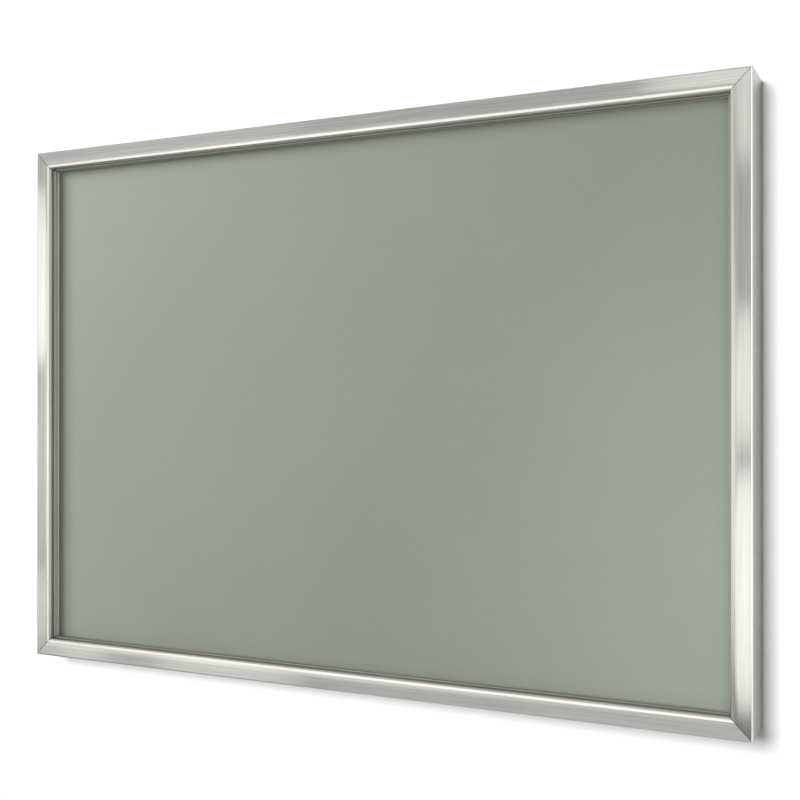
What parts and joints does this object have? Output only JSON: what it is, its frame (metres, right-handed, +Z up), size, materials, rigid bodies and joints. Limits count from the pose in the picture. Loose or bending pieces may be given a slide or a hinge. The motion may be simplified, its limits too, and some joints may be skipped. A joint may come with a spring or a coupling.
{
  "type": "framed cork bulletin board",
  "caption": "Wall-hung bulletin board: a deep mitred metal frame and liner around a recessed sage-green cork panel, lifted off on hook clips.",
  "frame": {"origin": "middle of the four wall screw holes, on the wall plane, which is also the middle of the board", "axes": "+X to the right along the board's width, +Z up, the cork faces -Y and the wall is at Y = 0"},
  "size_m": [0.89, 0.0585, 0.643],
  "materials": {
    "frame_metal": "satin brushed, fine streaks along each rail",
    "liner_metal": "satin brushed",
    "key_steel": "zinc plated",
    "screw_steel": "blackened",
    "sage_cork": "matt, smooth, sage green through-coloured cork sheet",
    "jute": "open weave",
    "fibre_core": "pressed soft fibre",
    "hardboard": "smooth brown hardboard",
    "spring_steel": "bright",
    "batten_wood": "planed softwood",
    "yellow_screw": "yellow zinc",
    "clip_steel": "galvanised",
    "bumper_rubber": "matt black"
  },
  "bodies": {
    "wall_clips": {"wall_clip_top_left": "clip_steel", "wall_clip_top_right": "clip_steel", "wall_clip_bottom_left": "clip_steel", "wall_clip_bottom_right": "clip_steel"},
    "board": {"top_rail": "frame_metal", "bottom_rail": "frame_metal", "left_rail": "frame_metal", "right_rail": "frame_metal", "top_liner": "liner_metal", "bottom_liner": "liner_metal", "left_liner": "liner_metal", "right_liner": "liner_metal", "nose_key_top_left": "key_steel", "nose_key_top_right": "key_steel", "nose_key_bottom_left": "key_steel", "nose_key_bottom_right": "key_steel", "lock_key_top_left": "key_steel", "lock_key_top_right": "key_steel", "lock_key_bottom_left": "key_steel", "lock_key_bottom_right": "key_steel", "set_screws": "screw_steel", "cork_sheet": "sage_cork", "jute_backing": "jute", "core_board": "fibre_core", "back_sheet": "hardboard", "spring_clips": "spring_steel", "top_batten": "batten_wood", "bottom_batten": "batten_wood", "batten_screws": "yellow_screw", "board_clip_top_left": "clip_steel", "board_clip_top_right": "clip_steel", "board_clip_bottom_left": "clip_steel", "board_clip_bottom_right": "clip_steel", "clip_screws": "yellow_screw", "bumpers": "bumper_rubber"}
  },
  "joints": [
    {"name": "lift_off", "type": "slide", "parent": "wall_clips", "child": "board", "axis": [0, 0, 1], "range_m": [0, 0.016]}
  ]
}
